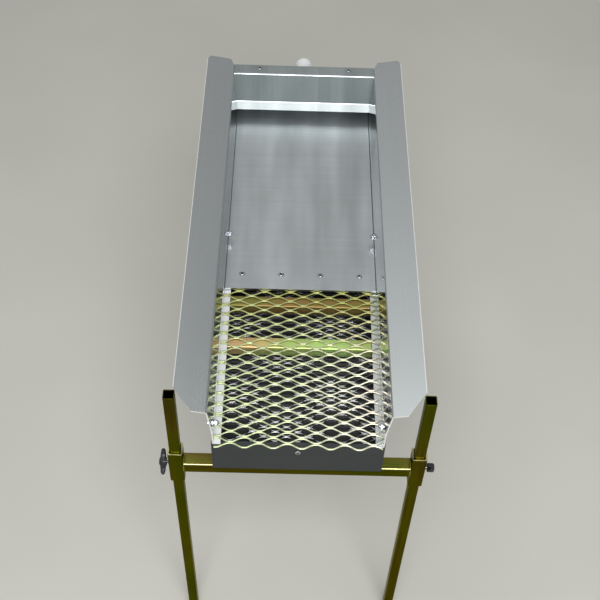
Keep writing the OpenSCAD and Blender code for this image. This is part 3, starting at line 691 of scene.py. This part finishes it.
for node in ("hood_rivets", "deck_rivets_row", "front_plate_rivets"):
    rivets(node)


# Side bolts, stand bolts and their nuts -------------------------------------------------------

BOLT_R = 2.5 * MM
HEX_W = 8 * MM
HEAD_H = 3.5 * MM


def side_frame(low, high):
    """A frame on a side bolt's axis, pointing out of the trough, at the solid's inner end."""
    middle = (low + high) / 2
    out = X * math.copysign(1, middle.x)
    run = high.x - low.x
    return axis_frame(middle - out * run / 2, out, Z), run


bm = bmesh.new()
for low, high in solid_boxes("side_bolts"):
    place, run = side_frame(low, high)
    hexagon(bm, place, HEX_W, run - HEAD_H, run)
    threaded(bm, place, BOLT_R, 0.8 * MM, 0, run - HEAD_H)
    lathe(bm, place, [(BOLT_R * 0.9, run - 0.3 * MM), (BOLT_R * 0.8, run)], sides=24)
piece("side_bolts_threaded", bm, [zinc], "side_bolts")

bm = bmesh.new()
for low, high in solid_boxes("side_nuts"):
    place, run = side_frame(low, high)
    collar = 1.5 * MM
    hexagon(bm, place, HEX_W, collar, run, bore=BOLT_R)
    lathe(bm, place, [
        (BOLT_R, collar + 0.2 * MM), (3.75 * MM, collar + 0.2 * MM), (3.75 * MM, 0.7 * MM),
        (3.4 * MM, 0.15 * MM), (3.1 * MM, 0), (2.9 * MM, 0.1 * MM), (2.85 * MM, 0.5 * MM), (BOLT_R, 0.5 * MM),
    ], closed=True)
    lathe(bm, place, [
        (BOLT_R, 0.55 * MM), (2.84 * MM, 0.55 * MM), (2.84 * MM, 0.25 * MM), (BOLT_R, 0.3 * MM),
    ], closed=True, material=1)
piece("side_nuts_locking", bm, [zinc, nylon], "side_nuts")

bm = bmesh.new()
for low, high in solid_boxes("stand_bolts"):
    middle = (low + high) / 2
    place = axis_frame(Vector((middle.x, middle.y, low.z)), Z, X)
    run = high.z - low.z
    threaded(bm, place, BOLT_R, 0.8 * MM, 0, run - HEAD_H)
    lathe(bm, place, [
        (BOLT_R, run - HEAD_H), (5.5 * MM, run - HEAD_H), (5.5 * MM, run - HEAD_H + 0.5 * MM),
        (5.1 * MM, run - 1.9 * MM), (4.2 * MM, run - 0.8 * MM), (2.8 * MM, run - 0.2 * MM), (1.6 * MM, run),
    ])
piece("stand_bolts_threaded", bm, [zinc], "stand_bolts")

bm = bmesh.new()
for low, high in solid_boxes("stand_nuts"):
    middle = (low + high) / 2
    place = axis_frame(Vector((middle.x, middle.y, low.z)), Z, X)
    hexagon(bm, place, HEX_W, 0, high.z - low.z, bore=BOLT_R)
piece("stand_nuts_chamfered", bm, [zinc], "stand_nuts")


# Clamp screws and wing knobs ------------------------------------------------------------------

def screw_axis(corner):
    """The axis of a corner's knob joint, which points out of the sleeve."""
    joint = next(joint for joint in frame["joints"] if joint["child"] == f"knob_{corner}")
    return Vector(joint["axis"])


def wing_direction(node, centre, out):
    """Unit vector across the screw, towards the knob's farthest point."""
    offsets = [vert.co - centre for vert in frame["nodes"][node].data.vertices]
    across = [offset - out * offset.dot(out) for offset in offsets]
    return max(across, key=lambda vector: vector.length).normalized()


def knob_piece(corner):
    """Wing knob: two rounded lobes across a round hub."""
    node = f"{corner}_knob"
    low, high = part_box(node)
    centre = (low + high) / 2
    out = screw_axis(corner)
    depth = abs((high - low).dot(out))
    reach = wing_direction(node, centre, out)
    place = axis_frame(centre - out * depth / 2, out, reach)
    half = 20 * MM
    tip = 0.12 * MM
    bm = bmesh.new()
    rings = []
    steps = 44
    for step in range(steps + 1):
        share = -math.cos(math.pi * step / steps)
        x = half * share
        far = abs(share)
        lobe = 4.5 * MM * math.exp(-((far - 0.76) / 0.2) ** 2)
        waist = 3.0 * MM + 3.2 * MM * math.exp(-(far / 0.3) ** 2)
        width = max(lobe, waist * (1 - far ** 6)) * math.sqrt(max(0.0, 1 - far ** 10)) + tip
        tall = (4.0 * MM + 0.5 * MM * math.cos(math.pi * far)) * math.sqrt(max(0.0, 1 - far ** 8)) + tip
        ring = []
        for i in range(24):
            angle = 2 * math.pi * i / 24
            cos, sin = math.cos(angle), math.sin(angle)
            y = width * math.copysign(abs(cos) ** 0.75, cos)
            z = 5.2 * MM + tall * math.copysign(abs(sin) ** 0.6, sin)
            ring.append(place @ Vector((x, y, z)))
        rings.append(ring)
    loft(bm, rings)
    lathe(bm, place, [
        (3.2 * MM, 0), (6.2 * MM, 0), (6.9 * MM, 0.5 * MM), (7.0 * MM, 1.2 * MM),
        (6.8 * MM, depth - 3.0 * MM), (6.3 * MM, depth - 1.2 * MM), (5.3 * MM, depth - 0.4 * MM),
        (4.2 * MM, depth), (3.6 * MM, depth - 0.1 * MM), (3.2 * MM, depth - 0.6 * MM),
        (1.0 * MM, depth - 0.7 * MM),
    ], sides=40)
    piece(f"{corner}_wing_knob", bm, [knob_plastic], node, sharp=50)


def screw_piece(corner):
    """Clamp screw with a plain tip that bears on the leg."""
    node = f"{corner}_screw"
    low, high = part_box(node)
    middle = (low + high) / 2
    out = screw_axis(corner)
    run = abs((high - low).dot(out))
    place = axis_frame(middle - out * run / 2, out, Z)
    bm = bmesh.new()
    tip = 0.8 * MM
    lathe(bm, place, [(2.0 * MM, 0), (2.45 * MM, 0.3 * MM), (2.45 * MM, tip + 0.2 * MM)], sides=20)
    threaded(bm, place, (high.z - low.z) / 2, 1.0 * MM, tip, run)
    piece(f"{corner}_threaded_screw", bm, [zinc], node)


for corner in corners:
    knob_piece(corner)
    screw_piece(corner)


# Water inlet ----------------------------------------------------------------------------------

inlet_lo, inlet_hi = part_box("water_inlet")
inlet_mid = (inlet_lo + inlet_hi) / 2
gasket_hi_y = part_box("inlet_gasket")[1].y
on_axis = axis_frame(Vector((inlet_mid.x, gasket_hi_y, inlet_mid.z)), Y, X)
spigot_end = inlet_hi.y - gasket_hi_y
neck_end = gasket_hi_y - inlet_lo.y
BORE_R = 13 * MM
SPIGOT_R = 16 * MM
NECK_R = 18 * MM
FLANGE_R = 25 * MM
FLANGE_T = 4 * MM

profile = [
    (BORE_R, -neck_end), (NECK_R - 1.2 * MM, -neck_end), (NECK_R, -neck_end + 1.0 * MM), (NECK_R, 0),
    (FLANGE_R - 0.5 * MM, 0), (FLANGE_R, 0.5 * MM), (FLANGE_R, FLANGE_T - 1.0 * MM),
    (FLANGE_R - 0.3 * MM, FLANGE_T - 0.3 * MM), (FLANGE_R - 1.0 * MM, FLANGE_T),
    (SPIGOT_R + 2.0 * MM, FLANGE_T), (SPIGOT_R + 0.5 * MM, FLANGE_T + 0.5 * MM),
    (SPIGOT_R - 0.4 * MM, FLANGE_T + 2.0 * MM),
]
barbs = 4
barb_l = 7 * MM
first_barb = spigot_end - barbs * barb_l - 0.8 * MM
for i in range(barbs):
    foot = first_barb + i * barb_l
    profile += [
        (SPIGOT_R - 0.4 * MM, foot), (SPIGOT_R, foot + 0.3 * MM), (SPIGOT_R, foot + 1.5 * MM),
        (SPIGOT_R - 0.5 * MM, foot + barb_l - 0.4 * MM),
    ]
profile += [
    (SPIGOT_R - 0.3 * MM, spigot_end - 1.6 * MM), (SPIGOT_R - 0.8 * MM, spigot_end - 0.5 * MM),
    (SPIGOT_R - 1.3 * MM, spigot_end), (BORE_R + 0.5 * MM, spigot_end), (BORE_R, spigot_end - 0.5 * MM),
]
bm = bmesh.new()
lathe(bm, on_axis, profile, sides=72, closed=True)
piece("water_inlet_barbed", bm, [nylon], "water_inlet", sharp=30)

nut_lo, nut_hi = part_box("inlet_nut")
bm = bmesh.new()
nut_frame = axis_frame(Vector((inlet_mid.x, nut_lo.y, inlet_mid.z)), Y, X)
hexagon(bm, nut_frame, nut_hi.z - nut_lo.z, 0, nut_hi.y - nut_lo.y, chamfer=1.2 * MM, bore=NECK_R)
piece("inlet_nut_chamfered", bm, [nylon], "inlet_nut")


# Floor and light ------------------------------------------------------------------------------

def floor():
    """Pale matt floor, a hair under the feet."""
    bm = bmesh.new()
    bmesh.ops.create_grid(bm, x_segments=8, y_segments=8, size=9)
    mesh = bpy.data.meshes.new("floor")
    bm.to_mesh(mesh)
    bm.free()
    paint = Paint("pale floor")
    paint.set(
        Base_Color=paint.mix(paint.span(paint.noise(2.5, 3), 0, 1), (0.70, 0.68, 0.62), (0.74, 0.72, 0.66)),
        Roughness=0.85,
    )
    mesh.materials.append(paint.material)
    made = bpy.data.objects.new("floor", mesh)
    made.location.z = -0.2 * MM
    bpy.context.scene.collection.objects.link(made)


def soft_light(name, centre, aim, width, depth, radiance):
    """Rectangular soft light of the given brightness, aimed at a point."""
    data = bpy.data.lights.new(name, "AREA")
    data.shape = "RECTANGLE"
    data.size = width
    data.size_y = depth
    data.energy = radiance * math.pi * width * depth
    made = bpy.data.objects.new(name, data)
    made.location = centre
    made.rotation_euler = (Vector(aim) - Vector(centre)).to_track_quat("-Z", "Y").to_euler()
    made.visible_camera = False
    bpy.context.scene.collection.objects.link(made)


def surroundings(front, back, glows):
    """Plain grey studio: one tone in front of the object, another behind it, and soft glows.

    Each glow is (brightness, direction, tightness). A higher tightness makes a smaller glow, and a
    brightness below 0 makes it a shade.
    """
    world = bpy.data.worlds.new("studio")
    bpy.context.scene.world = world
    world.use_nodes = True
    tree = world.node_tree

    def add(kind, inputs, **settings):
        made = tree.nodes.new(kind)
        for name, value in settings.items():
            setattr(made, name, value)
        for name, value in inputs.items():
            if isinstance(value, bpy.types.NodeSocket):
                tree.links.new(value, made.inputs[name])
            else:
                made.inputs[name].default_value = value
        return made

    way = tree.nodes.new("ShaderNodeTexCoord").outputs["Generated"]
    depth = add("ShaderNodeSeparateXYZ", {0: way}).outputs["Y"]
    share = add("ShaderNodeMapRange", {"Value": depth, "From Min": -1}).outputs["Result"]
    tones = {0: share, 6: (*front, 1), 7: (*back, 1)}
    light = add("ShaderNodeMix", tones, data_type="RGBA").outputs[2]
    for brightness, direction, tightness in glows:
        aim = Vector(direction).normalized()
        fall = add("ShaderNodeVectorMath", {0: way, 1: aim}, operation="DOT_PRODUCT").outputs["Value"]
        for operation, number in (("SUBTRACT", 1.0), ("MULTIPLY", tightness), ("EXPONENT", 0.0),
                                  ("MULTIPLY", brightness)):
            fall = add("ShaderNodeMath", {0: fall, 1: number}, operation=operation).outputs[0]
        both = {0: 1.0, 6: light, 7: fall}
        light = add("ShaderNodeMix", both, data_type="RGBA", blend_type="ADD").outputs[2]
    tree.links.new(light, tree.nodes["Background"].inputs["Color"])


floor()
surroundings((0.31, 0.335, 0.33), (0.325, 0.33, 0.325), [
    (0.85, (-0.38, 0.36, 0.86), 22), (-0.28, (0.38, 0.36, 0.86), 20), (0.34, (0.05, 0.56, 0.83), 70),
])
soft_light("overhead", (0.0, 0.22, 2.60), (0.0, 0.22, 0), 1.10, 0.66, 1.25)
soft_light("front", (0.10, -1.80, 2.70), (0, 0, 0.5), 1.40, 1.40, 8.0)
